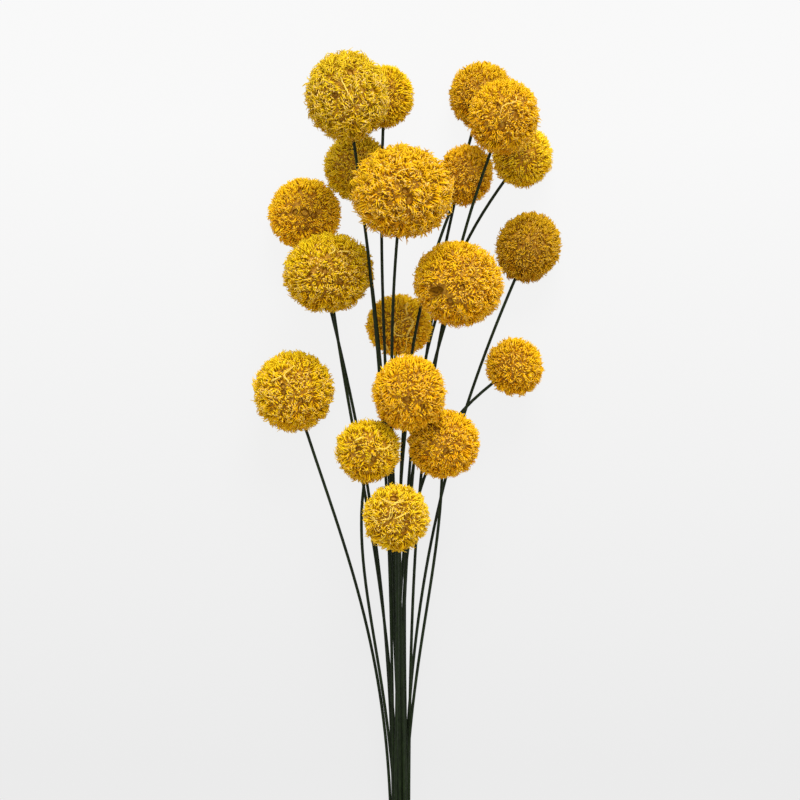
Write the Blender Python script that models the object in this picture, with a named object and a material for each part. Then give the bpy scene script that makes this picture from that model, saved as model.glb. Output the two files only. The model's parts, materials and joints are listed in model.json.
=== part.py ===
"""A bunch of dried seed balls on taped wire stems, laid on its side on the plane Z = 0.

Each ball is one dry, bristly seed head with a socket drilled in it, and a wire wrapped in green tape stands in the
socket. The stems draw together and run side by side through one band of tape near their cut ends.
The balls lie towards +Y, and the origin is on the surface, under the middle of the bunch. Sizes are in metres.
"""

import math
import random
from collections import namedtuple

import bmesh
import bpy
from mathutils import Matrix, Vector, noise
from mathutils.geometry import interpolate_bezier

MM = 0.001
SEED = 19

# Stems: wire wrapped in tape, packed in rows of a hexagon where the band holds them
STEM_ACROSS = 1.4 * MM
STEM_PITCH = 2.0 * MM
STEM_ROWS = (3, 4, 5, 4, 3)
STEM_SPLAY = 1.2
STEM_BELOW_BAND = 58 * MM
STEM_END_SPREAD = 4 * MM
STEM_FIRST_REACH = 0.42
STEM_LAST_REACH = 0.3
STEM_POINTS = 13

# Band: tape wound round the stems
BAND_WIDE = 12 * MM
BAND_THICK = 0.8 * MM
BAND_GAP = 0.3 * MM
BAND_CORNER_STEPS = 3

# Balls: a core covered with pointed tufts of bristles, and a socket for the stem
TUFT_LONG = 2.2 * MM
TUFT_UNEVEN = 0.18
TUFT_LEAN = 0.22
TUFT_SPACING = 5.0 * MM
LUMP = 0.045
LUMPS_PER_RADIUS = 1.7
SOCKET_DEEP = 5 * MM
SOCKET_GAP = 0.3 * MM
SOCKET_SIDES = 8
BARE_ANGLE = math.radians(16)
NECK = 2 * MM
PRESSED = 0.6 * MM

# Each ball's centre is measured in millimetres from the middle of the band's upper edge: to the right, along the bunch
# and above the surface, where None lies on it. Then its size across and along its own axis, and that axis's lean to
# the right in degrees. Next come the row its stem has in the band, the lowest being 1, and how early the stem climbs:
# at 0 it leaves the band level, at 1 it climbs evenly, and above 1 most of the climb is near the band. The tone is last.
Ball = namedtuple("Ball", "right along above wide long lean row early tone")
BALLS = (
    Ball(-23.3, 339.7, 72.0, 36.4, 40, -8, 4, 0.6, "olive"),
    Ball(-7.1, 341, 43.0, 28.5, 29.5, 2, 4, 1.4, "yellow"),
    Ball(-19.6, 309.9, 28.5, 30, 30, -8, 4, 2.0, "olive"),
    Ball(0.5, 297.1, 76.5, 44, 40, 5, 2, 0.0, "gold"),
    Ball(-43, 289.6, None, 33.5, 33.5, -15, 2, 0.8, "brown"),
    Ball(-32.2, 262.2, 42.5, 40.5, 35.5, -8, 2, 0.3, "yellow"),
    Ball(-48.1, 208.8, 25.0, 36.5, 36.5, -18, 3, 0.8, "yellow"),
    Ball(37.2, 343.2, None, 30, 31, 15, 1, 0.0, "gold"),
    Ball(46.3, 331.7, 53.0, 32, 34.5, 20, 3, 0.0, "gold"),
    Ball(55.4, 315.5, None, 28, 28, 36, 2, 0.3, "olive"),
    Ball(29.2, 306.4, 32.0, 26, 28.5, 22, 5, 2.0, "brown"),
    Ball(58.3, 274.2, None, 30, 32.5, 23, 1, 0.2, "brown"),
    Ball(25.7, 256.8, 55.0, 40.5, 37.5, 17, 1, 0.0, "gold"),
    Ball(-0.5, 239, None, 31, 29, 6, 3, 2.0, "brown"),
    Ball(51.8, 220.3, 22.5, 27, 26.5, 52, 4, 2.0, "gold"),
    Ball(4.2, 208.2, 66.0, 32.5, 35, 6, 5, 0.5, "gold"),
    Ball(-14, 182.5, 58.0, 29, 29.5, 8, 3, 0.2, "yellow"),
    Ball(19.4, 185.6, 42.0, 32.5, 31.5, 2, 3, 0.2, "gold"),
    Ball(-1.7, 152.7, 61.0, 30.5, 30, -1, 5, 0.7, "olive"),
)

BRISTLE_COLOURS = {
    "yellow": (0.60, 0.37, 0.03, 1),
    "gold": (0.56, 0.29, 0.02, 1),
    "olive": (0.50, 0.33, 0.05, 1),
    "brown": (0.42, 0.20, 0.02, 1),
}
TAPE_COLOUR = (0.018, 0.032, 0.018, 1)


def clear_scene():
    for thing in list(bpy.data.objects):
        bpy.data.objects.remove(thing)


def material(name, colour, roughness):
    made = bpy.data.materials.new(name)
    made.use_nodes = True
    shader = made.node_tree.nodes["Principled BSDF"]
    shader.inputs["Base Color"].default_value = colour
    shader.inputs["Roughness"].default_value = roughness
    shader.inputs["Metallic"].default_value = 0
    return made


def add_object(name, data, finish, bunch):
    made = bpy.data.objects.new(name, data)
    bpy.context.scene.collection.objects.link(made)
    made.parent = bunch
    data.materials.append(finish)
    return made


def band_centre():
    """How high the middle of the packed stems lies, with the band's flat side on the surface."""
    rows_below = (len(STEM_ROWS) - 1) / 2
    return BAND_THICK + BAND_GAP + STEM_ACROSS / 2 + rows_below * STEM_PITCH * math.sqrt(3) / 2


def packed_places():
    """Rows of (right, above) places for the stems in the band, the lowest row first."""
    rows = []
    for level, count in enumerate(STEM_ROWS):
        above = band_centre() + (level - (len(STEM_ROWS) - 1) / 2) * STEM_PITCH * math.sqrt(3) / 2
        rows.append([((place - (count - 1) / 2) * STEM_PITCH, above) for place in range(count)])
    return rows


def height_of(ball):
    """The ball's nominal height above the surface: one that lies on it is half its width up."""
    return (ball.wide / 2 if ball.above is None else ball.above) * MM


def share_out_places(balls):
    """Each ball's place in the band, left to right within its row."""
    places = {}
    for level, row in enumerate(packed_places()):
        members = [number for number, ball in enumerate(balls) if ball.row == level + 1]
        members.sort(key=lambda number: balls[number].right / balls[number].along)
        places.update(zip(members, row))
    return places


def climb_of(ball, place):
    """How much the stem climbs for each length along, taken over its whole way from the band to the ball."""
    return (height_of(ball) - place[1]) / (ball.along * MM)


def axis_of(ball, place):
    """The way the ball points away from its stem: its own lean, and what is left of the stem's climb."""
    lean = math.radians(ball.lean)
    rise = math.atan(climb_of(ball, place) * (2 - ball.early))
    return Vector((math.sin(lean) * math.cos(rise), math.cos(lean) * math.cos(rise), math.sin(rise)))


def surface_point(direction, half_wide, half_long, lump_seed):
    """The point of a slightly lumpy spheroid in a direction from its centre."""
    lump = 1 + LUMP * noise.noise(direction * LUMPS_PER_RADIUS + lump_seed)
    return Vector((direction.x * half_wide, direction.y * half_wide, direction.z * half_long)) * lump


def spiral_directions(count):
    """Directions spread evenly over a ball by the golden angle, from its top to the bare ring round the socket."""
    golden = math.pi * (3 - math.sqrt(5))
    lowest = -math.cos(BARE_ANGLE)
    for step in range(count):
        up = 1 - (1 - lowest) * (step + 0.5) / count
        flat = math.sqrt(1 - up * up)
        yield Vector((flat * math.cos(step * golden), flat * math.sin(step * golden), up))


def ball_shell(ball, draw):
    """A bmesh of the ball about its own centre, its axis up: core, tufts and socket in one closed skin."""
    half_wide = ball.wide * MM / 2 - TUFT_LONG
    half_long = ball.long * MM / 2 - TUFT_LONG
    lump_seed = Vector([draw.uniform(-50, 50) for _ in range(3)])
    socket_radius = STEM_ACROSS / 2 + SOCKET_GAP
    tilt = math.asin(socket_radius / half_wide)
    area = 4 * math.pi * half_wide * half_long
    count = round(area / (TUFT_SPACING**2 * math.sqrt(3) / 2))

    shell = bmesh.new()
    rim = []
    for side in range(SOCKET_SIDES):
        turn = 2 * math.pi * side / SOCKET_SIDES
        flat = math.sin(tilt)
        rim.append(shell.verts.new((flat * math.cos(turn), flat * math.sin(turn), -math.cos(tilt))))
    rest = [shell.verts.new(direction) for direction in spiral_directions(count)]
    bmesh.ops.convex_hull(shell, input=rim + rest)
    mouth = bmesh.ops.dissolve_faces(
        shell, faces=[face for face in shell.faces if all(corner in rim for corner in face.verts)]
    )["region"]
    skin = [face for face in shell.faces if face not in mouth]

    for corner in rim:
        corner.co = Vector((corner.co.x * half_wide, corner.co.y * half_wide, corner.co.z * half_long))
    for corner in rest:
        corner.co = surface_point(corner.co.copy(), half_wide, half_long, lump_seed)

    tips = bmesh.ops.poke(shell, faces=skin)["verts"]
    for tip in tips:
        reach = tip.link_edges[0].calc_length() * TUFT_LEAN
        out = Vector((tip.co.x / half_wide, tip.co.y / half_wide, tip.co.z / half_long)).normalized()
        long = TUFT_LONG * (1 + draw.uniform(-TUFT_UNEVEN, TUFT_UNEVEN))
        sideways = out.orthogonal().normalized()
        sideways.rotate(Matrix.Rotation(draw.uniform(0, 2 * math.pi), 3, out))
        tip.co = surface_point(out, half_wide, half_long, lump_seed) + out * long + sideways * reach

    floor = bmesh.ops.extrude_discrete_faces(shell, faces=mouth)["faces"][0]
    bmesh.ops.translate(shell, verts=floor.verts, vec=(0, 0, SOCKET_DEEP))
    bmesh.ops.recalc_face_normals(shell, faces=shell.faces)
    return shell


def add_ball(name, ball, axis, finish, bunch, draw):
    """One seed ball, turned to its axis. The tufts of one that lies on the surface are pressed flat there."""
    shell = ball_shell(ball, draw)
    turned = axis.to_track_quat("Z", "Y")
    centre = Vector((ball.right * MM, ball.along * MM, height_of(ball)))
    if ball.above is None:
        centre.z = -min((turned @ corner.co).z for corner in shell.verts) - PRESSED
    for corner in shell.verts:
        below = -(centre + turned @ corner.co).z
        if below > 0:
            corner.co += turned.inverted() @ Vector((0, 0, below))
    mesh = bpy.data.meshes.new(name)
    shell.to_mesh(mesh)
    shell.free()
    made = add_object(name, mesh, finish, bunch)
    made.location = centre
    made.rotation_mode = "QUATERNION"
    made.rotation_quaternion = turned
    return centre


def stem_route(ball, place, centre, axis, draw):
    """The stem's centre line: cut end, straight through the band, one easy bend, and straight into the socket."""
    right, above = place
    middle = band_centre()
    below = STEM_BELOW_BAND + draw.uniform(-STEM_END_SPREAD, STEM_END_SPREAD)
    splayed = Vector((right * STEM_SPLAY, -BAND_WIDE - below, middle + (above - middle) * STEM_SPLAY))
    leaves_band = Vector((right, 0, above))
    enters_ball = centre - axis * (ball.long * MM / 2 + NECK)
    socket_floor = centre - axis * (ball.long * MM / 2 - TUFT_LONG - SOCKET_DEEP + SOCKET_GAP)
    first = Vector((0, 1, climb_of(ball, place) * ball.early)) * ball.along * MM * STEM_FIRST_REACH
    last = axis * (enters_ball - leaves_band).length * STEM_LAST_REACH
    bend = interpolate_bezier(leaves_band, leaves_band + first, enters_ball - last, enters_ball, STEM_POINTS)
    return [splayed, Vector((right, -BAND_WIDE, above)), *bend, socket_floor]


def add_stem(name, route, finish, bunch):
    """A round stem along its route, with both ends cut square."""
    curve = bpy.data.curves.new(name, "CURVE")
    curve.dimensions = "3D"
    curve.bevel_depth = STEM_ACROSS / 2
    curve.bevel_resolution = 1
    curve.use_fill_caps = True
    spline = curve.splines.new("POLY")
    spline.points.add(len(route) - 1)
    for point, spot in zip(spline.points, route):
        point.co = (*spot, 1)
    add_object(name, curve, finish, bunch)


def band_outline(out_from_stems):
    """The outline of the packed stems, grown outwards: six flats with rounded corners, as (right, above)."""
    reach = STEM_PITCH * (len(STEM_ROWS) - 1) / 2
    grown = STEM_ACROSS / 2 + out_from_stems
    for corner in range(6):
        turn = math.radians(60 * corner)
        for step in range(BAND_CORNER_STEPS + 1):
            swing = turn + math.radians(60 * (step / BAND_CORNER_STEPS - 0.5))
            yield (
                reach * math.cos(turn) + grown * math.cos(swing),
                reach * math.sin(turn) + grown * math.sin(swing) + band_centre(),
            )


def add_band(finish, bunch):
    """The tape band: a wall round the packed stems, flat where it lies on the surface."""
    shell = bmesh.new()
    loops = []
    for out in (BAND_GAP, BAND_GAP + BAND_THICK):
        corners = [shell.verts.new((right, 0, above)) for right, above in band_outline(out)]
        loops += [shell.edges.new(pair) for pair in zip(corners, corners[1:] + corners[:1])]
    wall = bmesh.ops.bridge_loops(shell, edges=loops)["faces"]
    swept = bmesh.ops.extrude_face_region(shell, geom=wall, use_keep_orig=True)["geom"]
    bmesh.ops.translate(
        shell, verts=[part for part in swept if isinstance(part, bmesh.types.BMVert)], vec=(0, -BAND_WIDE, 0)
    )
    bmesh.ops.recalc_face_normals(shell, faces=shell.faces)
    mesh = bpy.data.meshes.new("band")
    shell.to_mesh(mesh)
    shell.free()
    add_object("band", mesh, finish, bunch)


def settle_on_origin(bunch):
    """Moves the whole bunch so that the origin is under the middle of the space it fills."""
    bpy.context.view_layer.update()
    graph = bpy.context.evaluated_depsgraph_get()
    spots = []
    for part in bunch.children:
        shown = part.evaluated_get(graph)
        spots += [shown.matrix_world @ corner.co for corner in shown.to_mesh().vertices]
        shown.to_mesh_clear()
    for side in (0, 1):
        reach = [spot[side] for spot in spots]
        bunch.location[side] = -(min(reach) + max(reach)) / 2


def build_bunch():
    clear_scene()
    draw = random.Random(SEED)
    bunch = bpy.data.objects.new("bunch", None)
    bpy.context.scene.collection.objects.link(bunch)
    tape = material("green_tape", TAPE_COLOUR, 0.75)
    bristles = {tone: material(f"bristles_{tone}", colour, 0.85) for tone, colour in BRISTLE_COLOURS.items()}

    for number, place in sorted(share_out_places(BALLS).items()):
        ball = BALLS[number]
        axis = axis_of(ball, place)
        centre = add_ball(f"ball_{number + 1:02d}", ball, axis, bristles[ball.tone], bunch, draw)
        add_stem(f"stem_{number + 1:02d}", stem_route(ball, place, centre, axis, draw), tape, bunch)
    add_band(tape, bunch)
    settle_on_origin(bunch)


build_bunch()
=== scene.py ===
"""The looks of a bunch of dyed, bristly seed balls on taped wire stems, laid on its side on a pale table."""

import json
import math
from collections import namedtuple

import bmesh
import bpy
import numpy as np
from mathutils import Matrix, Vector, noise


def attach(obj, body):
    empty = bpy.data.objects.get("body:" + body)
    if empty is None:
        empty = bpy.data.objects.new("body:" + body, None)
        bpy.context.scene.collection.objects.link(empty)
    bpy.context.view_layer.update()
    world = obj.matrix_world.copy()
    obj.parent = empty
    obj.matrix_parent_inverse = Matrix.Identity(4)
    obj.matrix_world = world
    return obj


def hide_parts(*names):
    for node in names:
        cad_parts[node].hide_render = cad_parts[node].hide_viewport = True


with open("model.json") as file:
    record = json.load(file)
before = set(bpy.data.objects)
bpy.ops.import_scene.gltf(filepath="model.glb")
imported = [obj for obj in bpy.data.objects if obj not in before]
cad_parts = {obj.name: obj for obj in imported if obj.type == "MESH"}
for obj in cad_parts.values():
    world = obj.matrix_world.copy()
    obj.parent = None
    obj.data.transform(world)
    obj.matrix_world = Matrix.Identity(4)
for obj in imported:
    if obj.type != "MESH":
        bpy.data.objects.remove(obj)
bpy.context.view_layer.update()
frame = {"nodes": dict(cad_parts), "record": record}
slots = {part["node"]: part["material_slot"] for part in frame["record"]["subparts"]}
MM = 0.001

# Stem wires
# The heart of each stem is a length of bright steel florist's wire, cut off square with pliers at the lower end.
# Only the last millimetre is bare, where the tape stops short of the cut.
WIRE_ACROSS = 1.0 * MM
WIRE_SHOWN = 5 * MM
WIRE_SIDES = 16
CUT_EDGE = 0.12 * MM
RING_APART = 3 * MM
CORNER_DIGITS = 7
STEEL_DARK = (0.20, 0.19, 0.18, 1)
STEEL_BRIGHT = (0.55, 0.55, 0.56, 1)
STEEL_GRAIN = 2500
STEEL_GLOSS = (0.3, 0.55)


def corners_of(node):
    """All the corners of a solid, each once, in metres."""
    mesh = frame["nodes"][node].data
    spots = np.empty(len(mesh.vertices) * 3)
    mesh.vertices.foreach_get("co", spots)
    return np.unique(np.round(spots.reshape(-1, 3), CORNER_DIGITS), axis=0)


def centre_line(node):
    """The middle of each ring of corners of a stem's solid, from the cut end to the ball."""
    spots = corners_of(node)
    spots = spots[np.argsort(spots[:, 1])]
    breaks = np.flatnonzero(np.diff(spots[:, 1]) > RING_APART) + 1
    return np.array([ring.mean(axis=0) for ring in np.split(spots, breaks)])


def hand_over(name, built, finish, node):
    """Makes one piece of a bmesh or a mesh, with its finish, which stands for a solid and moves with the bunch."""
    mesh = built
    if isinstance(built, bmesh.types.BMesh):
        mesh = bpy.data.meshes.new(name)
        built.to_mesh(mesh)
        built.free()
    mesh.materials.clear()
    mesh.materials.append(finish)
    piece = bpy.data.objects.new(name, mesh)
    bpy.context.scene.collection.objects.link(piece)
    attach(piece, "root")
    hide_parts(node)
    return piece


def grained(name, dark, light, span, grain, detail=2, stretch=None):
    """A finish that goes from dark to light in a fine grain. It comes with its shader and the node of the grain."""
    made = bpy.data.materials.new(name)
    made.use_nodes = True
    nodes, links = made.node_tree.nodes, made.node_tree.links
    shader = nodes["Principled BSDF"]
    place = nodes.new("ShaderNodeTexCoord").outputs["Object"]
    if stretch:
        stretched = nodes.new("ShaderNodeMapping")
        stretched.inputs["Scale"].default_value = stretch
        links.new(place, stretched.inputs["Vector"])
        place = stretched.outputs["Vector"]
    marks = nodes.new("ShaderNodeTexNoise")
    marks.inputs["Scale"].default_value = grain
    marks.inputs["Detail"].default_value = detail
    colours = nodes.new("ShaderNodeValToRGB")
    for element, position, colour in zip(colours.color_ramp.elements, span, (dark, light)):
        element.position = position
        element.color = colour
    links.new(place, marks.inputs["Vector"])
    links.new(marks.outputs["Fac"], colours.inputs["Fac"])
    links.new(colours.outputs["Color"], shader.inputs["Base Color"])
    return made, shader, marks


def vary_gloss(made, marks, low, high):
    """Makes a finish's roughness follow its grain."""
    gloss = made.node_tree.nodes.new("ShaderNodeMapRange")
    gloss.inputs["To Min"].default_value = low
    gloss.inputs["To Max"].default_value = high
    made.node_tree.links.new(marks.outputs["Fac"], gloss.inputs["Value"])
    made.node_tree.links.new(gloss.outputs["Result"], made.node_tree.nodes["Principled BSDF"].inputs["Roughness"])


steel, steel_shader, steel_marks = grained("wire_steel", STEEL_DARK, STEEL_BRIGHT, (0, 1), STEEL_GRAIN)
steel_shader.inputs["Metallic"].default_value = 1
vary_gloss(steel, steel_marks, *STEEL_GLOSS)

stem_nodes = sorted(name for name in frame["nodes"] if name.startswith("stem"))
centre_lines = {node: centre_line(node) for node in stem_nodes}
for node in stem_nodes:
    cut, onward = (Vector(spot) for spot in centre_lines[node][:2])
    along = (onward - cut).normalized()
    wire = bmesh.new()
    bmesh.ops.create_cone(
        wire, cap_ends=True, segments=WIRE_SIDES, radius1=WIRE_ACROSS / 2, radius2=WIRE_ACROSS / 2, depth=WIRE_SHOWN
    )
    rims = [edge for edge in wire.edges if edge.verts[0].co.z * edge.verts[1].co.z > 0]
    bmesh.ops.bevel(wire, geom=rims, offset=CUT_EDGE, segments=2, profile=0.5, affect="EDGES", material=-1)
    bmesh.ops.translate(wire, verts=wire.verts, vec=(0, 0, WIRE_SHOWN / 2))
    bmesh.ops.rotate(wire, verts=wire.verts, cent=(0, 0, 0), matrix=along.to_track_quat("Z", "Y").to_matrix())
    bmesh.ops.translate(wire, verts=wire.verts, vec=cut)
    hand_over(f"wire_{node[-2:]}", wire, steel, node)

# Stem tape
# Florist's tape is waxed crepe paper, stretched and wound round the wire in a long spiral, each turn lapping the
# one before. The free edge of every turn shows as a fine ridge, and the stretched wax has a faint satin gloss.
TAPE_RADIUS = 0.68 * MM
TAPE_SHORT = 1.3 * MM
TAPE_STEP = 6 * MM
TAPE_ROUND = 4
LAP_PITCH = 7 * MM
LAP_STEPS = 8
LAP_RADIUS = 0.09 * MM
LAP_SUNK = 0.03 * MM
LAP_ROUND = 0
WELD = 0.001 * MM
TAPE_DARK = (0.004, 0.008, 0.001, 1)
TAPE_LIGHT = (0.011, 0.021, 0.004, 1)
TAPE_SPAN = (0.35, 0.72)
TAPE_SHEEN = 0.15
TAPE_GLOSS = (0.45, 0.75)
CREPE_GRAIN = 900
CREPE_DETAIL = 4
CREPE_STRETCH = (1, 0.25, 1)
CREPE_DEEP = 0.05 * MM
CREPE_STRENGTH = 0.35


def smooth_route(spots, step):
    """Points about a step apart on a smooth curve through the spots."""
    reach = np.r_[0, np.cumsum(np.linalg.norm(np.diff(spots, axis=0), axis=1))]
    slope = np.gradient(spots, reach, axis=0)
    wanted = np.linspace(0, reach[-1], round(reach[-1] / step) + 1)
    span = np.clip(np.searchsorted(reach, wanted, side="right") - 1, 0, len(spots) - 2)
    gap = np.diff(reach)[span][:, None]
    share = (wanted - reach[span])[:, None] / gap
    return (
        spots[span] * (2 * share**3 - 3 * share**2 + 1)
        + slope[span] * gap * (share**3 - 2 * share**2 + share)
        + spots[span + 1] * (3 * share**2 - 2 * share**3)
        + slope[span + 1] * gap * (share**3 - share**2)
    )


def tube(name, route, radius, rounding):
    """A closed round tube along a route, as a mesh."""
    curve = bpy.data.curves.new(name, "CURVE")
    curve.dimensions = "3D"
    curve.bevel_depth = radius
    curve.bevel_resolution = rounding
    curve.use_fill_caps = True
    line = curve.splines.new("POLY")
    line.points.add(len(route) - 1)
    line.points.foreach_set("co", np.c_[route, np.ones(len(route))].ravel())
    line.use_smooth = True
    drawn = bpy.data.objects.new(name, curve)
    bpy.context.scene.collection.objects.link(drawn)
    mesh = bpy.data.meshes.new_from_object(drawn.evaluated_get(bpy.context.evaluated_depsgraph_get()))
    bpy.data.objects.remove(drawn)
    return mesh


def lap_route(spots, start):
    """The spiral that the free edge of the tape follows round a stem."""
    fine = smooth_route(spots, LAP_PITCH / LAP_STEPS)
    ahead = np.gradient(fine, axis=0)
    ahead /= np.linalg.norm(ahead, axis=1, keepdims=True)
    aside = np.cross(ahead, (0, 0, 1))
    aside /= np.linalg.norm(aside, axis=1, keepdims=True)
    turn = (start + np.arange(len(fine)) * 2 * math.pi / LAP_STEPS)[:, None]
    return fine + (aside * np.cos(turn) + np.cross(aside, ahead) * np.sin(turn)) * (TAPE_RADIUS - LAP_SUNK)


def emboss(made, marks, deep, strength):
    """Raises the light marks of a finish's grain above its dark ones."""
    bump = made.node_tree.nodes.new("ShaderNodeBump")
    bump.inputs["Strength"].default_value = strength
    bump.inputs["Distance"].default_value = deep
    made.node_tree.links.new(marks.outputs["Fac"], bump.inputs["Height"])
    made.node_tree.links.new(bump.outputs["Normal"], made.node_tree.nodes["Principled BSDF"].inputs["Normal"])


tape, tape_shader, tape_marks = grained(
    "stem_tape", TAPE_DARK, TAPE_LIGHT, TAPE_SPAN, CREPE_GRAIN, CREPE_DETAIL, CREPE_STRETCH
)
tape_shader.inputs["Specular IOR Level"].default_value = TAPE_SHEEN
vary_gloss(tape, tape_marks, *TAPE_GLOSS)
emboss(tape, tape_marks, CREPE_DEEP, CREPE_STRENGTH)

for number, node in enumerate(stem_nodes):
    spots = centre_lines[node].copy()
    onward = spots[1] - spots[0]
    spots[0] += onward / np.linalg.norm(onward) * TAPE_SHORT
    wound = bmesh.new()
    wound.from_mesh(tube("wound", smooth_route(spots, TAPE_STEP), TAPE_RADIUS, TAPE_ROUND))
    wound.from_mesh(tube("lap", lap_route(spots, number), LAP_RADIUS, LAP_ROUND))
    bmesh.ops.remove_doubles(wound, verts=wound.verts, dist=WELD)
    hand_over(f"tape_{node[-2:]}", wound, tape, node)

# Ball cores
# Under its bristles a seed ball is a hard, woody sphere of grown-together capsules, golden brown where the dye has
# reached it. It is drilled to take the stem, and shows only at the bottom of the deepest gaps.
CORE_DEEP = 2.6 * MM
CORE_LUMP = 0.03
CORE_LUMPS = 5
CORE_STEPS = 3
CORE_DARK = (0.20, 0.08, 0.003, 1)
CORE_LIGHT = (0.56, 0.29, 0.006, 1)
CORE_SPAN = (0.3, 0.75)
CORE_GRAIN = 700
CORE_DETAIL = 5
CORE_ROUGH = 0.9
CORE_PITS = 0.3 * MM


def ball_form(node, stem):
    """A ball's centre, the turn that brings +Z to its own axis, and its half sizes (across, across, along)."""
    spots = corners_of(node)
    socket = centre_lines[stem][-2:]
    axis = Vector(socket[1] - socket[0]).normalized()
    turn = np.array(axis.to_track_quat("Z", "Y").to_matrix())
    own = spots @ turn
    low, high = own.min(axis=0), own.max(axis=0)
    across = (high - low)[:2].mean() / 2
    return turn @ ((low + high) / 2), turn, np.array((across, across, (high - low)[2] / 2))


wood, wood_shader, wood_marks = grained("core_wood", CORE_DARK, CORE_LIGHT, CORE_SPAN, CORE_GRAIN, CORE_DETAIL)
wood_shader.inputs["Roughness"].default_value = CORE_ROUGH
emboss(wood, wood_marks, CORE_PITS, 1)
ball_nodes = sorted(name for name in frame["nodes"] if name.startswith("ball"))
forms = {node: ball_form(node, node.replace("ball", "stem")) for node in ball_nodes}
for number, node in enumerate(ball_nodes):
    centre, turn, half = forms[node]
    core = bmesh.new()
    bmesh.ops.create_icosphere(core, subdivisions=CORE_STEPS, radius=1)
    for corner in core.verts:
        lump = 1 + CORE_LUMP * noise.noise(corner.co * CORE_LUMPS + Vector((number, 0, 0)))
        corner.co = Vector(centre + turn @ (np.array(corner.co) * (half - CORE_DEEP)) * lump)
    hand_over(f"core_{node[-2:]}", core, wood, node)

# Bristles
# A seed ball is made of dozens of small capsules. Round each stand flat, curling bristles that lean away from it
# and mat with those of the next in pale ridges. The ball was dipped in dye, which took less on tips and ridges.
# Light and shade are painted into the bristles' colour as well: the upper sides lighter, the lower sides and roots
# darker, and balls lying in the shade of others brighter.
BRISTLE_WIDE = 0.46 * MM
BRISTLE_THICK = 0.28 * MM
ROOT_DEEP = 2.9 * MM
WIDTH_VARY = (0.7, 1.25)
STOUT = (0.85, 0.25)
CAPSULE_ROOM = 36 * MM**2
CAPSULE_STRAY = 0.2
CAPSULE_HOLE = 1.3 * MM
HOLE_ROOTS = (0.7, 1.15)
HOLE_TIPS = (0.6, 1)
SOCKET_BARE = 1.5 * MM
GOLDEN_ANGLE = math.pi * (3 - math.sqrt(5))
FIRST_SEED = 100

# Each coat: the room of one bristle, its (share of length, width) steps, how far it reaches beside the long coat,
# how high its tips stand, how much that varies, how far it follows its tuft up and down, and how much paler it is.
Coat = namedtuple("Coat", "room steps reach high vary follow shade")
LONG_STEPS = ((0, 1.0), (0.55, 1.15), (1, 0.35))
LOOSE_STEPS = ((0, 0.8), (0.4, 1.1), (0.75, 1.0), (1, 0.3))
SHORT_STEPS = ((0, 1.6), (1, 1.1))
COATS = (
    Coat(1.45 * MM**2, LONG_STEPS, 1.0, -0.35 * MM, 0.5 * MM, 1.0, 0.04),
    Coat(2.2 * MM**2, SHORT_STEPS, 0.6, -1.0 * MM, 0.3 * MM, 0.6, -0.1),
    Coat(30 * MM**2, LOOSE_STEPS, 1.3, 0.3 * MM, 0.35 * MM, 0.6, 0.15),
)
BRISTLE_STRAY = 0.3
BRISTLE_DRIFT = 0.26
BRISTLE_BEND = 0.4
BRISTLE_RISE = 1.5
SWING = 0.55
BULGE = (-0.1, 0.5)
# Neighbouring bristles gather into tufts, which lean over together, away from the capsule and a little at random.
TUFT_ROOM = 6 * MM**2
TUFT_STRAY = 0.3
TUFT_VARY = 0.4 * MM
TUFT_SPREAD = 0.8
TUFT_PROUD = 0.5
TUFT_LIMITS = (-1.8 * MM, 1.5 * MM)
GATHER = 0.38
LEAN_AWAY = 0.8
LEAN_DRIFT = 1.5
LEAN_STRAY = 0.45
LEAN_VARY = (0.35, 1.1)
DRIFT_APART = 3.5 * MM
# Between two capsules the bristles mat into a ridge. Over an open one they sink towards its rim.
RIDGE_FROM = 0.6
RIDGE_HIGH = 0.8 * MM
HOLE_SINK = 1.3
HOLE_SLOPE = 1.1 * MM
# How much paler the ridges and some patches are, how much painted light makes the upper sides, towards the lamps,
# paler and the lower sides darker, and how much a tuft and a bristle vary.
MIDDLE_SHADE = 0.5
RIDGE_PALE = 0.25
PATCH_PALE = 0.3
PATCH_APART = 7 * MM
UPPER_PAINTED_LIGHT = 0.4
TUFT_PALE = 0.08
BRISTLE_PALE = 0.12
PALEST = 0.88
# The upper sides are also more even, in height and in colour; the evener colour there is painted light as well.
UPPER_EVEN = 0.5
UPPER_PAINTED_PLAIN = 0.06
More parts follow.
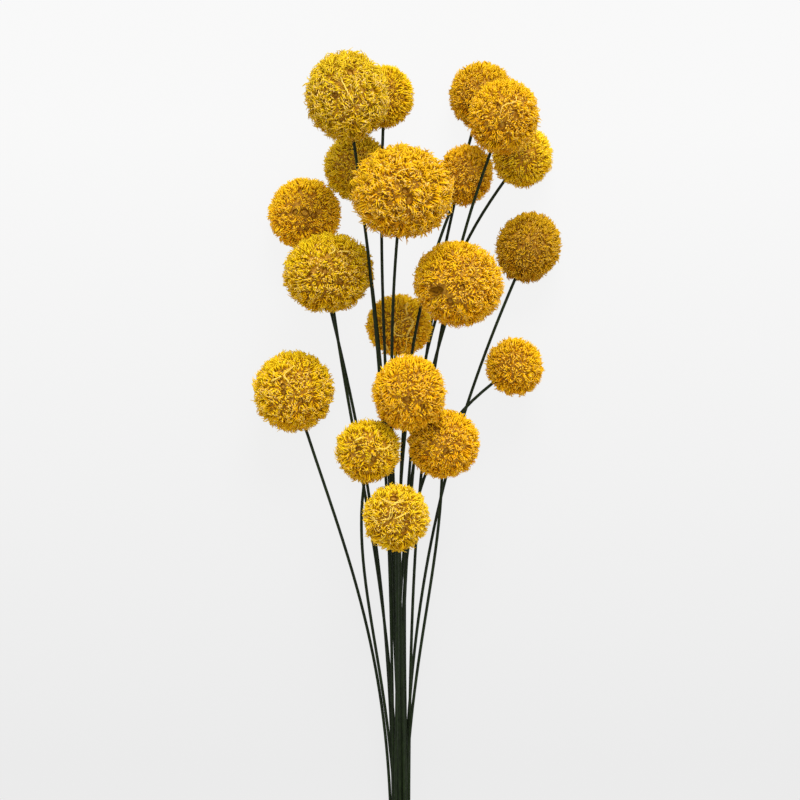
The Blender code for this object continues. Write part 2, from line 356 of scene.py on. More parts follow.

# For each ball: how far its bristles reach over in millimetres, how much they curl, how pale their tips are, how
# far its capsules stand open, how spiky its outline is, and how bright its dye is made: partly its own dye, and
# partly painted light that brightens balls lying in the shade of others.
Character = namedtuple("Character", "reach curl pale open wild bright")
CHARACTERS = {
    "ball_01": Character(3.1, 1.1, 0.90, 0.6, 1.2, 0.9),
    "ball_02": Character(1.0, 0.4, 0.20, 0.2, 0.4, 0.92),
    "ball_03": Character(1.6, 0.6, 0.35, 0.3, 0.6, 1),
    "ball_04": Character(3.2, 1.3, 0.70, 0.9, 1.7, 0.88),
    "ball_05": Character(1.6, 1.0, 0.35, 0.8, 0.4, 1.45),
    "ball_06": Character(2.2, 1.0, 0.85, 0.9, 0.9, 0.9),
    "ball_07": Character(2.2, 0.8, 0.90, 0.6, 0.9, 1.02),
    "ball_08": Character(1.5, 0.6, 0.35, 0.3, 0.5, 0.84),
    "ball_09": Character(2.0, 0.9, 0.55, 0.8, 0.8, 0.92),
    "ball_10": Character(1.6, 0.8, 0.40, 0.3, 0.5, 1.12),
    "ball_11": Character(1.6, 0.8, 0.40, 0.4, 0.5, 1.15),
    "ball_12": Character(1.5, 0.8, 0.35, 0.5, 0.5, 0.84),
    "ball_13": Character(2.0, 1.2, 0.60, 0.9, 0.7, 0.97),
    "ball_14": Character(1.5, 1.0, 0.30, 0.6, 0.4, 1.5),
    "ball_15": Character(1.6, 0.8, 0.40, 0.4, 0.6, 0.98),
    "ball_16": Character(2.0, 0.8, 0.45, 0.6, 0.7, 0.99),
    "ball_17": Character(2.1, 0.9, 0.60, 0.7, 0.8, 0.98),
    "ball_18": Character(2.0, 0.8, 0.50, 0.7, 0.6, 1.02),
    "ball_19": Character(2.2, 0.9, 0.90, 0.8, 0.8, 1.08),
}
# Open capsules that show on a ball's face: millimetres to the right of its middle, up from it, and the radius.
HOLLOWS = {
    "ball_01": ((2.0, 9.5, 1.7), (4.5, -3.5, 1.3), (-6.0, -1.0, 1.3)),
    "ball_04": ((2.0, 6.5, 1.4), (1.6, 0.0, 1.8), (3.4, -4.0, 2.2), (-8.0, -3.0, 1.7), (-11.0, -6.0, 1.4)),
    "ball_05": ((-4.5, 0.5, 1.5), (0.5, 0.0, 2.2), (5.0, -1.0, 1.7), (1.0, -8.0, 1.3)),
    "ball_06": ((-1.5, 1.0, 1.7), (-8.0, -1.5, 1.4), (6.0, -5.0, 1.5)),
    "ball_07": ((-5.0, 2.5, 1.4), (-4.6, -0.6, 1.3), (4.0, -5.0, 1.4)),
    "ball_09": ((-3.0, 3.5, 1.3), (5.0, 0.5, 1.8), (-1.0, -5.5, 2.0)),
    "ball_13": (
        (-12.2, -4.0, 2.8),
        (-9.8, -3.4, 3.2),
        (-8.6, -3.0, 2.3),
        (-4.3, -9.4, 1.9),
        (1.7, -2.0, 1.6),
        (7.1, 2.5, 1.5),
    ),
    "ball_16": ((-1.0, -3.5, 1.8), (7.0, -7.0, 1.4)),
    "ball_17": ((3.0, -4.0, 1.7), (-5.0, 1.0, 1.3)),
    "ball_18": ((1.0, -3.5, 1.7), (-3.0, 7.5, 1.4)),
    "ball_19": ((-1.0, 10.0, 1.7), (-2.5, 0.5, 1.5), (4.0, -6.5, 1.8), (5.5, -1.0, 1.4)),
}
# Pale ridges that show on a ball's face, each as spots in millimetres to the right of its middle and up from it.
SEAMS = {
    "ball_01": (((-2.8, 6.2), (-0.6, 2.6), (1.4, -2.0)),),
    "ball_04": (((-3.1, 3.5), (-1.8, 8.9), (3.1, 10.6), (7.5, 9.3)),),
    "ball_06": (((0.8, 14.0), (3.5, 10.1), (-0.1, 8.3)), ((3.5, 10.1), (9.8, 10.1))),
    "ball_07": (((2.5, 12.0), (-4.3, 6.8), (-0.2, 2.1)), ((-4.3, 6.8), (-10.0, 4.0))),
    "ball_09": (((4.8, 8.5), (5.2, 5.0), (-0.6, 4.1), (-2.4, -1.3)),),
    "ball_14": (
        ((3.1, -6.2), (4.3, -2.9), (5.7, 0.0), (7.6, 2.7)),
        ((3.1, -6.2), (4.4, -3.4), (6.6, 0.8), (4.2, 3.8), (0.4, 1.3)),
        ((4.2, 3.8), (3.0, 8.0), (4.5, 11.0)),
        ((3.1, -6.2), (-1.8, -5.1), (-2.3, -2.6), (-1.0, 2.0)),
        ((3.1, -6.2), (6.0, -5.5), (9.0, -6.4)),
        ((3.1, -6.2), (2.5, -11.7), (0.0, -13.2)),
        ((-7.1, -7.5), (-5.2, -9.8), (-4.6, -12.2)),
    ),
    "ball_17": (((2.4, 1.0), (7.7, 1.0), (10.0, 4.0)), ((-6.1, 4.6), (-1.7, 6.4))),
    "ball_19": (
        ((-1.2, 6.2), (-2.3, -0.3), (-7.2, -1.2)),
        ((-1.2, 6.2), (4.4, 7.7)),
        ((-1.2, 6.2), (-6.5, 8.5)),
        ((-1.0, -0.3), (5.3, 2.4)),
        ((-7.2, -3.4), (-10.5, 1.5)),
    ),
}
SEAM_POINTS = 8
SEAM_STRANDS = 2
SEAM_WIDTHS = (0.4, 0.8, 0.95, 1.0, 1.0, 0.95, 0.8, 0.4)
SEAM_HIGH = 0.2 * MM
SEAM_SUNK = 1.6 * MM
SEAM_LOOSE = 0.25 * MM
SEAM_CRINKLE = 0.12 * MM
SEAM_SHADE = 1
SEAM_STRAW = 0.45
# Each dye at the root of a dull bristle, on most bristles, and on the brightest ones.
# The painted light moves the bristles of the upper sides towards the brightest colour and those of the lower sides
# towards the dull one.
DYES = {
    "yellow": ((0.71, 0.35, 0.002, 1), (0.88, 0.56, 0.003, 1), (0.88, 0.64, 0.008, 1)),
    "gold": ((0.72, 0.31, 0.002, 1), (0.90, 0.51, 0.003, 1), (0.90, 0.57, 0.01, 1)),
    "olive": ((0.64, 0.34, 0.002, 1), (0.80, 0.53, 0.005, 1), (0.84, 0.60, 0.02, 1)),
    "brown": ((0.56, 0.24, 0.002, 1), (0.72, 0.40, 0.004, 1), (0.78, 0.46, 0.01, 1)),
}
DYE_SPAN = (0.35, 0.7)
DYE_LIMIT = (0.97, 0.72, 0.03, 1)
DYE_ROUGH = 0.75
DYE_SHEEN = 0.1
# Painted shade: the roots, deep among the bristles, are tinted a little darker up to this share of their length.
ROOT_PAINTED_SHADE = (1, 0.97, 0.75, 1)
ROOT_SHADE_TO = 0.7
# The tips of the duller bristles have worn to the colour of straw, and those of the brighter ones hardly. Through
# the painted light, the tips on the lower sides take more straw and those on the upper sides less.
STRAW = (0.86, 0.60, 0.22, 1)
TIP_FROM = 0.55
WORN_SPAN = (0.2, 0.38, 0.52, 0.7, 0.9, 0.96)
FRESH = 0.06
MAP_EDGE = 0.03


def spread_over_sphere(count, jitter, rng):
    """Unit vectors spread evenly over a sphere by the golden angle, each pushed a little aside."""
    step = np.arange(count)
    up = 1 - 2 * (step + 0.5) / count
    flat = np.sqrt(1 - up**2)
    turn = step * GOLDEN_ANGLE
    spots = np.stack((flat * np.cos(turn), flat * np.sin(turn), up), axis=1)
    spots += rng.normal(0, jitter * math.sqrt(4 * math.pi / count), (count, 3))
    return spots / np.linalg.norm(spots, axis=1, keepdims=True)


def seen_spot(right, up, size):
    """The direction from a ball's middle to a spot of its face, as it is seen from above, in millimetres."""
    spot = np.array((right, up, math.sqrt(max(0, (size / MM) ** 2 - right**2 - up**2))))
    return spot / np.linalg.norm(spot)


def capsules_of(node, size, turn, rng):
    """The directions of a ball's capsules from its middle, and the radius of the hole in each."""
    spots = spread_over_sphere(round(4 * math.pi * size**2 / CAPSULE_ROOM), CAPSULE_STRAY, rng) @ turn.T
    holes = rng.uniform(0, 1, len(spots)) * CHARACTERS[node].open * CAPSULE_HOLE
    for right, up, radius in HOLLOWS.get(node, ()):
        spot = seen_spot(right, up, size)
        apart = np.arccos(np.clip(spots @ spot, -1, 1)) * size
        kept = apart > math.sqrt(CAPSULE_ROOM) / 2
        spots = np.vstack((spots[kept], spot))
        holes = np.append(holes[kept], radius * MM)
    return spots, holes


def tufts_of(node, capsules, holes, rng):
    """A ball's tufts: their directions, how far each leans over, how high it stands and how pale it is, with painted
    light making the upper sides paler and the lower ones darker.
    """
    _, turn, half = forms[node]
    size = float(np.prod(half)) ** (1 / 3)
    reach, wild = CHARACTERS[node].reach, CHARACTERS[node].wild
    out = spread_over_sphere(round(4 * math.pi * size**2 / TUFT_ROOM), TUFT_STRAY, rng) @ turn.T
    apart = np.arccos(np.clip(out @ capsules.T, -1, 1)) * size
    order = np.argsort(apart, axis=1)[:, :2]
    nearest, next_one = np.take_along_axis(apart, order, axis=1).T
    hole = holes[order[:, 0]]
    ridge = nearest / next_one - RIDGE_FROM
    away = out - capsules[order[:, 0]]
    away /= np.linalg.norm(away, axis=1, keepdims=True)

    drift = np.array([noise.noise_vector(Vector(spot) * size / DRIFT_APART) for spot in out])
    lean = away * LEAN_AWAY + drift * LEAN_DRIFT + rng.normal(0, LEAN_STRAY, out.shape)
    lean -= out * (lean * out).sum(axis=1, keepdims=True)
    lean *= (reach * MM * rng.uniform(*LEAN_VARY, len(out)) / np.linalg.norm(lean, axis=1))[:, None]
    scatter = rng.normal(0, TUFT_SPREAD, len(out)) + TUFT_PROUD * rng.exponential(1, len(out))
    sunk = HOLE_SINK * hole * np.exp(-((np.maximum(nearest - hole, 0) / HOLE_SLOPE) ** 2))
    uneven = TUFT_VARY * wild * (1 - UPPER_EVEN * out[:, 1])
    high = np.clip(uneven * scatter + ridge * RIDGE_HIGH - sunk, *TUFT_LIMITS)
    patch = np.array([noise.noise(Vector(spot) * size / PATCH_APART) for spot in out])
    # Painted light: tufts on the upper sides, towards the lamps, are made paler and those on the lower sides darker.
    shade = MIDDLE_SHADE + UPPER_PAINTED_LIGHT * out[:, 1] + RIDGE_PALE * ridge + PATCH_PALE * patch
    shade += rng.normal(0, TUFT_PALE, len(out))
    return out, lean, high, shade


def bristle_paths(node, coat, capsules, holes, tufts, rng):
    """The points of every bristle in one coat of a ball, as (bristle, point, xyz), and the bristles' shades."""
    centre, turn, half = forms[node]
    size = float(np.prod(half)) ** (1 / 3)
    curl = CHARACTERS[node].curl * MM
    own = spread_over_sphere(round(4 * math.pi * size**2 / coat.room), BRISTLE_STRAY, rng)
    stemward = (own[:, 2] < 0) & (np.hypot(own[:, 0], own[:, 1]) * half[0] < SOCKET_BARE)
    out = own[~stemward] @ turn.T
    near = out @ capsules.T
    first = near.argmax(axis=1)
    nearest = np.arccos(np.clip(near.max(axis=1), -1, 1)) * size
    out = out[nearest > holes[first] * rng.uniform(*HOLE_ROOTS, len(out))]
    count = len(out)

    middles, leans, highs, shades = tufts
    tuft = (out @ middles.T).argmax(axis=1)
    drift = (middles[tuft] - out) * size * GATHER + leans[tuft] * coat.reach
    drift += rng.normal(0, BRISTLE_DRIFT * coat.reach * CHARACTERS[node].reach * MM, (count, 3))
    drift -= out * (drift * out).sum(axis=1, keepdims=True)
    other = np.cross(out, drift)
    other /= np.linalg.norm(other, axis=1, keepdims=True)

    tip = coat.high + highs[tuft] * coat.follow + rng.normal(0, coat.vary, count) * CHARACTERS[node].wild
    swing = curl * rng.normal(0, SWING, count)
    bulge = curl * rng.uniform(*BULGE, count)
    paths = []
    for share, _ in coat.steps:
        forward = out + drift * (BRISTLE_BEND * share + (1 - BRISTLE_BEND) * share**2) / size
        forward += other * (swing * share**2 / size)[:, None]
        forward /= np.linalg.norm(forward, axis=1, keepdims=True)
        high = (ROOT_DEEP + tip) * (1 - (1 - share) ** BRISTLE_RISE) - ROOT_DEEP
        high += bulge * math.sin(math.pi * share) ** 2
        paths.append(centre + (forward @ turn * (half + high[:, None])) @ turn.T)
    paths = np.stack(paths, axis=1)
    # Where a ball lies on the table, its bristles are pressed flat.
    paths[:, :, 2] = np.maximum(paths[:, :, 2], BRISTLE_THICK)
    # Painted light: the bristles' own tone varies less on the upper sides, which are lit evenly.
    shade = shades[tuft] + coat.shade + rng.normal(0, 1, count) * (BRISTLE_PALE - UPPER_PAINTED_PLAIN * out[:, 1])
    tips = paths[:, -1] - centre
    tips /= np.linalg.norm(tips, axis=1, keepdims=True)
    beside = tips @ capsules.T
    over = holes[beside.argmax(axis=1)] * rng.uniform(*HOLE_TIPS, count)
    clear = np.arccos(np.clip(beside.max(axis=1), -1, 1)) * size > over
    return paths[clear], np.clip(shade, 0, PALEST)[clear]


def seam_strands(node, seam, rng):
    """A few bristles matted together along a ridge of a ball's face, sunk in at both ends."""
    centre, turn, half = forms[node]
    size = float(np.prod(half)) ** (1 / 3)
    bends = np.array([seen_spot(right, up, size) for right, up in seam])
    share = np.linspace(0, len(bends) - 1, SEAM_POINTS)
    route = np.stack([np.interp(share, np.arange(len(bends)), bends[:, axis]) for axis in range(3)], axis=1)
    strands = route + rng.normal(0, SEAM_LOOSE / size, (SEAM_STRANDS, 1, 3))
    strands += rng.normal(0, SEAM_CRINKLE / size, (SEAM_STRANDS, SEAM_POINTS, 3))
    strands /= np.linalg.norm(strands, axis=2, keepdims=True)
    high = np.full(SEAM_POINTS, SEAM_HIGH)
    high[[0, -1]] = -SEAM_SUNK
    return centre + (strands @ turn * (half + high[:, None])) @ turn.T


def bristle_section():
    """The flat, three-sided cross-section that the bristles are drawn with. It runs clockwise, so they face out."""
    outline = bpy.data.curves.new("bristle_section", "CURVE")
    outline.dimensions = "2D"
    edge = outline.splines.new("POLY")
    edge.points.add(2)
    edge.points[0].co = (-BRISTLE_WIDE / 2, -BRISTLE_THICK / 3, 0, 1)
    edge.points[1].co = (0, BRISTLE_THICK * 2 / 3, 0, 1)
    edge.points[2].co = (BRISTLE_WIDE / 2, -BRISTLE_THICK / 3, 0, 1)
    edge.use_cyclic_u = True
    made = bpy.data.objects.new("bristle_section", outline)
    bpy.context.scene.collection.objects.link(made)
    return made


def bristle_mesh(name, sets, rng):
    """All the bristles of one ball as closed strands. Their map holds the place along a bristle and its shade."""
    strands = bpy.data.curves.new(name, "CURVE")
    strands.dimensions = "3D"
    strands.bevel_mode = "OBJECT"
    strands.bevel_object = section
    strands.use_fill_caps = True
    for paths, widths, _ in sets:
        count, points = paths.shape[:2]
        sizes = rng.uniform(*WIDTH_VARY, (count, 1)) * np.array(widths)
        tilts = rng.uniform(0, math.pi, (count, 1)) + rng.uniform(-1, 1, (count, 1)) * np.linspace(0, 1, points)
        spots = np.concatenate((paths, np.ones((count, points, 1))), axis=2)
        for spot, size, tilt in zip(spots, sizes, tilts):
            strand = strands.splines.new("POLY")
            strand.points.add(points - 1)
            strand.points.foreach_set("co", spot.ravel())
            strand.points.foreach_set("radius", size)
            strand.points.foreach_set("tilt", tilt)
            strand.use_smooth = True
    drawn = bpy.data.objects.new(name, strands)
    bpy.context.scene.collection.objects.link(drawn)
    mesh = bpy.data.meshes.new_from_object(drawn.evaluated_get(bpy.context.evaluated_depsgraph_get()))
    bpy.data.objects.remove(drawn)

    # The ends come first, each with three corners, last bristle to first, tip before root. The sides follow, three
    # of four corners for each step of a bristle, first bristle to last.
    shades = np.concatenate([shade for _, _, shade in sets])
    spans = np.concatenate([np.full(len(paths), paths.shape[1] - 1) for paths, _, _ in sets])
    map_layer = mesh.uv_layers[0]
    map_layer.name = "OFBake"
    places = np.empty(len(mesh.loops) * 2)
    map_layer.data.foreach_get("uv", places)
    places = places.reshape(-1, 2)
    ends = places[: 6 * len(shades)].reshape(-1, 2, 3, 2)
    ends[:, 0, :, 0] = 1 - MAP_EDGE * ends[:, 0, :, 0]
    ends[:, 1, :, 0] = MAP_EDGE * ends[:, 1, :, 0]
    ends[:, :, :, 1] = (0, 1, 0)
    corner_shade = np.concatenate([np.repeat(shades[::-1], 6), np.repeat(shades, spans * 12)])
    places[:, 1] = corner_shade * (1 - MAP_EDGE) + places[:, 1] * MAP_EDGE
    places[:, 0] = np.where(corner_shade > PALEST, 1 - MAP_EDGE * (1 - places[:, 0]), places[:, 0])
    map_layer.data.foreach_set("uv", places.ravel())

    closed = bmesh.new()
    closed.from_mesh(mesh)
    bmesh.ops.remove_doubles(closed, verts=closed.verts, dist=WELD)
    return closed


def bristle_dye(node, tone):
    """The finish of a ball's bristles: painted a little darker at the root, where shade falls deep among them, dyed
    along the side, and straw at some of the tips.
    """
    pale = CHARACTERS[node].pale
    # Painted light: the ball's factor brightens its dye, partly its own tone and partly to lift balls lying in the
    # shade of others.
    scaled = np.minimum(np.array(DYES[tone]) * CHARACTERS[node].bright, DYE_LIMIT)
    root, side, bright = [(*colour[:3], 1) for colour in scaled]
    made = bpy.data.materials.new(f"dye_{node[-2:]}")
    made.use_nodes = True
    nodes = made.node_tree.nodes
    links = made.node_tree.links
    shader = nodes["Principled BSDF"]
    shader.inputs["Roughness"].default_value = DYE_ROUGH
    shader.inputs["Specular IOR Level"].default_value = DYE_SHEEN
    place = nodes.new("ShaderNodeUVMap")
    place.uv_map = "OFBake"
    parted = nodes.new("ShaderNodeSeparateXYZ")
    links.new(place.outputs["UV"], parted.inputs["Vector"])

    dyed = nodes.new("ShaderNodeValToRGB")
    dyed.color_ramp.elements[0].color = root
    dyed.color_ramp.elements[1].color = bright
    for position in DYE_SPAN:
        dyed.color_ramp.elements.new(position).color = side
    links.new(parted.outputs["Y"], dyed.inputs["Fac"])

    # Painted shade at the roots, deep among the bristles.
    deep = nodes.new("ShaderNodeValToRGB")
    deep.color_ramp.elements[0].color = ROOT_PAINTED_SHADE
    deep.color_ramp.elements[1].position = ROOT_SHADE_TO
    deep.color_ramp.elements[1].color = (1, 1, 1, 1)
    links.new(parted.outputs["X"], deep.inputs["Fac"])
    tinted = nodes.new("ShaderNodeMix")
    tinted.data_type = "RGBA"
    tinted.blend_type = "MULTIPLY"
    tinted.inputs["Factor"].default_value = 1
    links.new(dyed.outputs["Color"], tinted.inputs[6])
    links.new(deep.outputs["Color"], tinted.inputs[7])

    tip = nodes.new("ShaderNodeMapRange")
    tip.interpolation_type = "SMOOTHSTEP"
    tip.inputs["From Min"].default_value = TIP_FROM
    links.new(parted.outputs["X"], tip.inputs["Value"])
    worn = nodes.new("ShaderNodeValToRGB")
    worn.color_ramp.elements[0].position = WORN_SPAN[0]
    worn.color_ramp.elements[0].color = (0, 0, 0, 1)
    worn.color_ramp.elements[1].position = WORN_SPAN[-1]
    worn.color_ramp.elements[1].color = (SEAM_STRAW, SEAM_STRAW, SEAM_STRAW, 1)
    for position, share in zip(WORN_SPAN[1:-1], (pale, pale, pale * FRESH, pale * FRESH)):
        worn.color_ramp.elements.new(position).color = (share, share, share, 1)
    links.new(parted.outputs["Y"], worn.inputs["Fac"])
    both = nodes.new("ShaderNodeMath")
    both.operation = "MULTIPLY"
    links.new(tip.outputs["Result"], both.inputs[0])
    links.new(worn.outputs["Color"], both.inputs[1])
    straw = nodes.new("ShaderNodeMix")
    straw.data_type = "RGBA"
    straw.inputs[7].default_value = STRAW
    links.new(both.outputs["Value"], straw.inputs["Factor"])
    links.new(tinted.outputs[2], straw.inputs[6])
    links.new(straw.outputs[2], shader.inputs["Base Color"])
    return made


# Without a seed noise_vector takes one from the clock, and the bristles differ in each run.
noise.seed_set(FIRST_SEED)
section = bristle_section()
for number, node in enumerate(ball_nodes):
    rng = np.random.default_rng(FIRST_SEED + number)
    _, turn, half = forms[node]
    capsules, holes = capsules_of(node, float(np.prod(half)) ** (1 / 3), turn, rng)
    tufts = tufts_of(node, capsules, holes, rng)
    stout = STOUT[0] + STOUT[1] * CHARACTERS[node].wild
    sets = []
    for coat in COATS:
        paths, shade = bristle_paths(node, coat, capsules, holes, tufts, rng)
        sets.append((paths, [width * stout for _, width in coat.steps], shade))
    for seam in SEAMS.get(node, ()):
        sets.append((seam_strands(node, seam, rng), SEAM_WIDTHS, np.full(SEAM_STRANDS, SEAM_SHADE)))
    tone = slots[node].removeprefix("bristles_")
    dye = bristle_dye(node, tone)
    hand_over(f"bristles_{node[-2:]}", bristle_mesh(node, sets, rng), dye, node)
bpy.data.objects.remove(section)

# Open capsules
# Where the capsules of a ball stand open, each is a small bowl of brown, woody skin that has dropped its seeds,
# down among the bristles. One on the large ball right of the middle is wide, and its rim is level with their tips.
CUP_SHAPE = (1.05, 0.75)
CUP_DEEP = 1.4 * MM
CUP_SUNK = 2.0 * MM
CUP_WALL = 0.8
CUP_RIM = 0.25
CUP_SIDES = 14
CUP_RINGS = 10
CUP_DARK = (0.10, 0.035, 0.001, 1)
CUP_LIGHT = (0.34, 0.14, 0.002, 1)
SKIN_SPAN = (0.3, 0.7)
SKIN_GRAIN = 900
SKIN_DETAIL = 4
SKIN_ROUGH = 0.8
SKIN_SHEEN = 0.1
HUSK_NODE = "ball_13"
HUSK_SPOT = (-9.8, -3.4)
HUSK_SHAPE = (3.9, 1.9)
HUSK_ROOM = 4
HUSK_DEEP = 2.8 * MM
HUSK_SUNK = 0.4 * MM
HUSK_TURN = math.radians(15)
HUSK_DARK = (0.11, 0.04, 0.001, 1)
HUSK_LIGHT = (0.34, 0.155, 0.002, 1)


def capsule_skin(name, dark, light):
    """The finish of an open capsule's dry, woody inside."""
    made, shader, _ = grained(name, dark, light, SKIN_SPAN, SKIN_GRAIN, SKIN_DETAIL)
    shader.inputs["Roughness"].default_value = SKIN_ROUGH
    shader.inputs["Specular IOR Level"].default_value = SKIN_SHEEN
    return made


def add_cup(built, node, spot, shape, deep, sunk, turned):
    """Adds an open bowl at a spot of a ball's face. Its shape is half its length and half its width."""
    centre, turn, half = forms[node]
    outward = Vector(seen_spot(*spot, float(np.prod(half)) ** (1 / 3)))
    lengthwise = Vector((math.cos(turned), math.sin(turned), 0))
    lengthwise = (lengthwise - outward * lengthwise.dot(outward)).normalized()
    widthwise = outward.cross(lengthwise)
    mouth = Vector(centre + turn @ (turn.T @ np.array(outward) * half)) - outward * sunk
    ball = bmesh.ops.create_uvsphere(built, u_segments=CUP_SIDES, v_segments=CUP_RINGS, radius=1)
    for corner in ball["verts"]:
        across, along, high = corner.co
        high = -high * CUP_WALL if high > 0 else high
        high += CUP_RIM * math.hypot(across, along) ** 4
        sideways = (lengthwise * across * shape[0] + widthwise * along * shape[1]) * MM
        corner.co = mouth + sideways + outward * high * deep


cup_skin = capsule_skin("capsule_skin", CUP_DARK, CUP_LIGHT)
for number, (node, hollows) in enumerate(HOLLOWS.items()):
    # The husk fills the hollows round its spot, so they get no bowl of their own.
    cups = bmesh.new()
    for right, up, radius in hollows:
        if node == HUSK_NODE and math.dist((right, up), HUSK_SPOT) < HUSK_ROOM:
            continue
        shape = (radius * CUP_SHAPE[0], radius * CUP_SHAPE[1])
        add_cup(cups, node, (right, up), shape, CUP_DEEP, CUP_SUNK, number + right)
    bmesh.ops.recalc_face_normals(cups, faces=cups.faces)
    hand_over(f"capsules_{node[-2:]}", cups, cup_skin, node)
husk = bmesh.new()
add_cup(husk, HUSK_NODE, HUSK_SPOT, HUSK_SHAPE, HUSK_DEEP, HUSK_SUNK, HUSK_TURN)
bmesh.ops.recalc_face_normals(husk, faces=husk.faces)
hand_over(f"husk_{HUSK_NODE[-2:]}", husk, capsule_skin("husk", HUSK_DARK, HUSK_LIGHT), HUSK_NODE)

# Band
# The same tape is wound four times round the gathered stems, each turn a little lower than the last. Its stretch
# leaves fine slanting creases, and the loose end is pressed down on the turn below.
WIND_TURNS = 4
WIND_STEPS = 48
WIND_ROWS = 9
WIND_WIDE = 9 * MM
WIND_LOWER = 2.7 * MM
WIND_THICK = 0.2 * MM
WIND_FROM = 0.16 * MM
WIND_TO = 1.0 * MM
CREASE = 0.07 * MM
CREASES = 14
CREASE_SLANT = 3
CREASE_ROWS = 4
EDGE_WAVE = 0.3 * MM
EDGE_WAVES = 3
EDGES_APART = 7
EDGE_START = 2
LOOSE_SHARE = 0.015
LOOSE_HIGH = 0.35 * MM
END_TURN = 0.4
BUNDLE_SIDES = 6
ROUNDED_SHARE = 0.4

band_spots = corners_of("band")
band_low, band_high = band_spots.min(axis=0), band_spots.max(axis=0)
band_middle = (band_low + band_high) / 2
stem_middles = np.array([route[1] for route in centre_lines.values()]) - band_middle
bundle_reach = np.hypot(stem_middles[:, 0], stem_middles[:, 2]).max()


def wound_spot(turns, out_from_stems):
    """A point of the bundle's six-sided outline, after so many turns round it and so far out from the stems."""
    side, share = divmod((turns % 1) * BUNDLE_SIDES, 1)
    angle = math.radians(360 / BUNDLE_SIDES)
    swing = angle * (side + 0.5) + angle * (min(share, ROUNDED_SHARE) / ROUNDED_SHARE - 1)
    corner = angle * side
    ahead = angle * (side + 1)
    flat = max(0, share - ROUNDED_SHARE) / (1 - ROUNDED_SHARE)
    grown = TAPE_RADIUS + out_from_stems
    right = bundle_reach * (math.cos(corner) * (1 - flat) + math.cos(ahead) * flat) + grown * math.cos(swing)
    above = bundle_reach * (math.sin(corner) * (1 - flat) + math.sin(ahead) * flat) + grown * math.sin(swing)
    return right, above


wound = bmesh.new()
bmesh.ops.create_grid(wound, x_segments=WIND_TURNS * WIND_STEPS, y_segments=WIND_ROWS, size=1)
for corner in wound.verts:
    wound_share, row = (corner.co.x + 1) / 2, (corner.co.y + 1) / 2
    turns = wound_share * WIND_TURNS
    crease = noise.noise(Vector((turns * CREASES + row * CREASE_SLANT, row * CREASE_ROWS, wound_share)))
    wave = noise.noise(Vector((turns * EDGE_WAVES, round(row) * EDGES_APART, EDGE_START)))
    loose = max(0, (wound_share - 1 + LOOSE_SHARE) / LOOSE_SHARE)
    out = WIND_FROM + (WIND_TO - WIND_FROM) * wound_share + CREASE * crease + LOOSE_HIGH * loose**2
    right, above = wound_spot(turns + END_TURN, out)
    top = band_high[1] - WIND_LOWER * wound_share - EDGE_WAVE * abs(wave)
    low = band_high[1] - WIND_LOWER * wound_share - WIND_WIDE + EDGE_WAVE * abs(wave)
    corner.co = (band_middle[0] + right, low + (top - low) * row, band_middle[2] + above)
bmesh.ops.solidify(wound, geom=wound.faces, thickness=WIND_THICK)
bmesh.ops.recalc_face_normals(wound, faces=wound.faces)
hand_over("band_tape", wound, tape, "band")

# Table
# The bunch lies on a plain sheet of pale paper. Its paleness is mostly painted light: the paper glows by itself,
# though it is no lamp, and gives back little of the lamps' light, so hardly a shadow shows on it. It fills the view,
# throws no glare, and its painted glow is a little darker towards the cut ends.
PAPER_SIZE = 6
PAPER_BACK = (0.03, 0.03, 0.03, 1)
PAPER_PAINTED_GLOWS = (0.782, 0.888)
PAPER_FADES = (-102 * MM, 185 * MM)
PAPER_ROUGH = 0.9
PAPER_SHEEN = 0.1

sheet = bmesh.new()
bmesh.ops.create_grid(sheet, x_segments=1, y_segments=1, size=PAPER_SIZE)
paper_mesh = bpy.data.meshes.new("table")
sheet.to_mesh(paper_mesh)
sheet.free()
table = bpy.data.objects.new("table", paper_mesh)
bpy.context.scene.collection.objects.link(table)
paper = bpy.data.materials.new("paper")
paper.use_nodes = True
paper_shader = paper.node_tree.nodes["Principled BSDF"]
paper_shader.inputs["Base Color"].default_value = PAPER_BACK
paper_shader.inputs["Roughness"].default_value = PAPER_ROUGH
paper_shader.inputs["Specular IOR Level"].default_value = PAPER_SHEEN
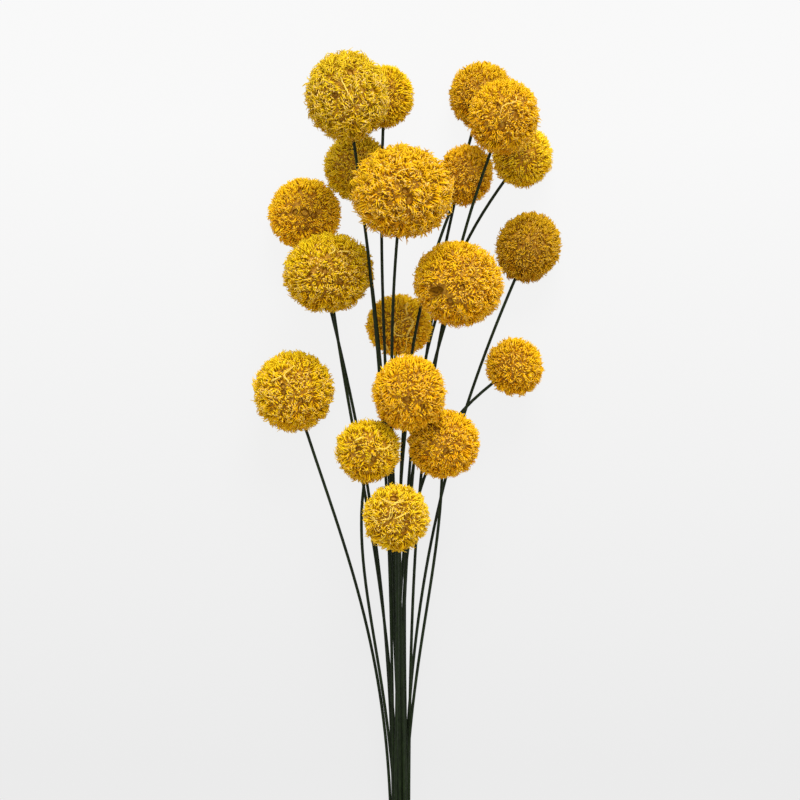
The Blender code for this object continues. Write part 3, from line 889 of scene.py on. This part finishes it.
# Painted light: the paper glows in place of lamp light on it, a little less towards the cut ends.
paper_shader.inputs["Emission Color"].default_value = (1, 1, 1, 1)
paper_place = paper.node_tree.nodes.new("ShaderNodeTexCoord")
paper_parted = paper.node_tree.nodes.new("ShaderNodeSeparateXYZ")
paper_painted_fade = paper.node_tree.nodes.new("ShaderNodeMapRange")
paper_painted_fade.inputs["From Min"].default_value, paper_painted_fade.inputs["From Max"].default_value = PAPER_FADES
paper_painted_fade.inputs["To Min"].default_value, paper_painted_fade.inputs["To Max"].default_value = PAPER_PAINTED_GLOWS
paper.node_tree.links.new(paper_place.outputs["Object"], paper_parted.inputs["Vector"])
paper.node_tree.links.new(paper_parted.outputs["Y"], paper_painted_fade.inputs["Value"])
paper.node_tree.links.new(paper_painted_fade.outputs["Result"], paper_shader.inputs["Emission Strength"])
paper_mesh.materials.append(paper)

# Light and camera
# A large soft light stands beyond the top of the bunch and a weaker one over it, in a pale room. The camera looks
# straight down from far off, and its view is as wide as the photograph's.
ROOM_LIGHT = 0.73
# Each lamp: its place, its width and its power.
LAMPS = {"key": ((0.25, 1.7, 1.5), 1.2, 51), "over": ((0, 0.3, 2.6), 0.8, 17)}
LAMPS_AIM = (0, 0.1, 0)
CAMERA_HIGH = 2.5
VIEW_WIDE = 0.36
VIEW_MIDDLE = (-3.44 * MM, 61.8 * MM)
MIDDLE_HIGH = 35 * MM
SENSOR = 36

room = bpy.data.worlds.new("studio")
bpy.context.scene.world = room
room.use_nodes = True
room.node_tree.nodes["Background"].inputs["Color"].default_value = (1, 1, 1, 1)
room.node_tree.nodes["Background"].inputs["Strength"].default_value = ROOM_LIGHT

for name, (spot, size, power) in LAMPS.items():
    lamp = bpy.data.lights.new(name, "AREA")
    lamp.shape = "DISK"
    lamp.size = size
    lamp.energy = power
    hung = bpy.data.objects.new(name, lamp)
    bpy.context.scene.collection.objects.link(hung)
    hung.location = spot
    hung.rotation_euler = (Vector(LAMPS_AIM) - Vector(spot)).to_track_quat("-Z", "Y").to_euler()

camera_data = bpy.data.cameras.new("camera")
camera = bpy.data.objects.new("camera", camera_data)
bpy.context.scene.collection.objects.link(camera)
camera.location = (*VIEW_MIDDLE, CAMERA_HIGH)
camera_data.sensor_width = SENSOR
camera_data.lens = SENSOR * (CAMERA_HIGH - MIDDLE_HIGH) / VIEW_WIDE
bpy.context.scene.camera = camera
bpy.context.scene.view_settings.view_transform = "Standard"
